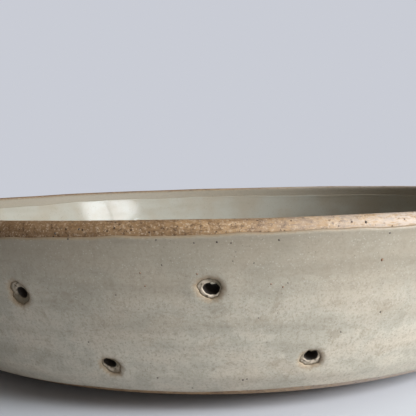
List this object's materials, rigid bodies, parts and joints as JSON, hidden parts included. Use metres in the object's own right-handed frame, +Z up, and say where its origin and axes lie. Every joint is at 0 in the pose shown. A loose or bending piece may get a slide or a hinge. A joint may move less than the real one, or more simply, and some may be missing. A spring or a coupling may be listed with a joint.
{
  "type": "berry bowl",
  "caption": "Shallow round stoneware bowl with drain holes through its wall and floor, a bare toasted lip and a notched foot ring, for rinsing and serving berries.",
  "frame": {"origin": "middle of the foot ring, on the table", "axes": "+Z up along the turning axis, -Y to the viewer, +X to the viewer's right"},
  "size_m": [0.2408, 0.2408, 0.05],
  "materials": {
    "bare_stoneware": "unglazed toasted stoneware, fine sandy grain, darker where the flame caught it",
    "outer_glaze": "satin grey-cream glaze with fine mottling and iron specks",
    "inner_glaze": "glossy grey-cream glaze with fine iron specks"
  },
  "bodies": {
    "root": {"stoneware_body": "bare_stoneware", "outer_glaze": "outer_glaze", "inner_glaze": "inner_glaze"}
  },
  "joints": []
}
